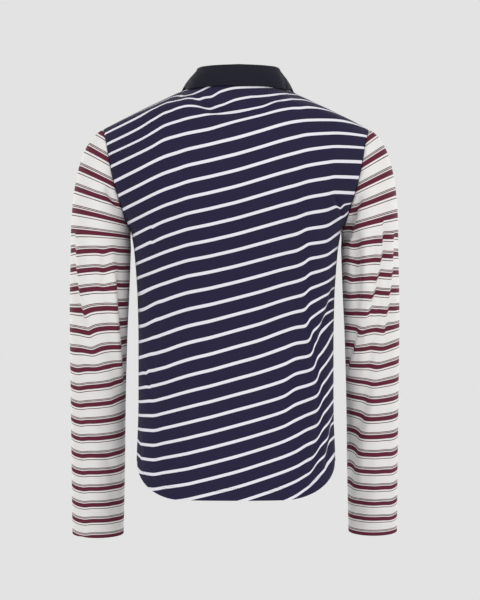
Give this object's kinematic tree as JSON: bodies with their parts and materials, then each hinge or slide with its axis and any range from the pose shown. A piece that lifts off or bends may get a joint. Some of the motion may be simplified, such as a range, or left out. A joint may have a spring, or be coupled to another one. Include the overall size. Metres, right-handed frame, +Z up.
{
  "type": "long-sleeved polo shirt, filled out as worn",
  "caption": "Long-sleeved polo shirt in the hollow form it takes when worn, with diagonal-striped body, banded sleeves, ribbed collar and buttoned placket.",
  "frame": {"origin": "between the shoulders at the base of the neck, where the wearer holds the shirt up", "axes": "+Z up, -Y out of the front, +X towards the wearer's left"},
  "size_m": [0.547, 0.2375, 0.7832],
  "materials": {
    "body_cloth": "fine navy cotton jersey with narrow white diagonal stripes",
    "sleeve_cloth": "fine off-white cotton jersey with burgundy bands between fine dark lines",
    "collar_rib": "near-black fine flat-knit rib",
    "button": "dark satin resin"
  },
  "bodies": {
    "root": {"back": "body_cloth", "front": "body_cloth", "left_sleeve": "sleeve_cloth", "right_sleeve": "sleeve_cloth", "collar": "collar_rib", "placket_upper": "body_cloth", "placket_under": "body_cloth", "button_1": "button", "button_2": "button", "button_3": "button"}
  },
  "joints": []
}
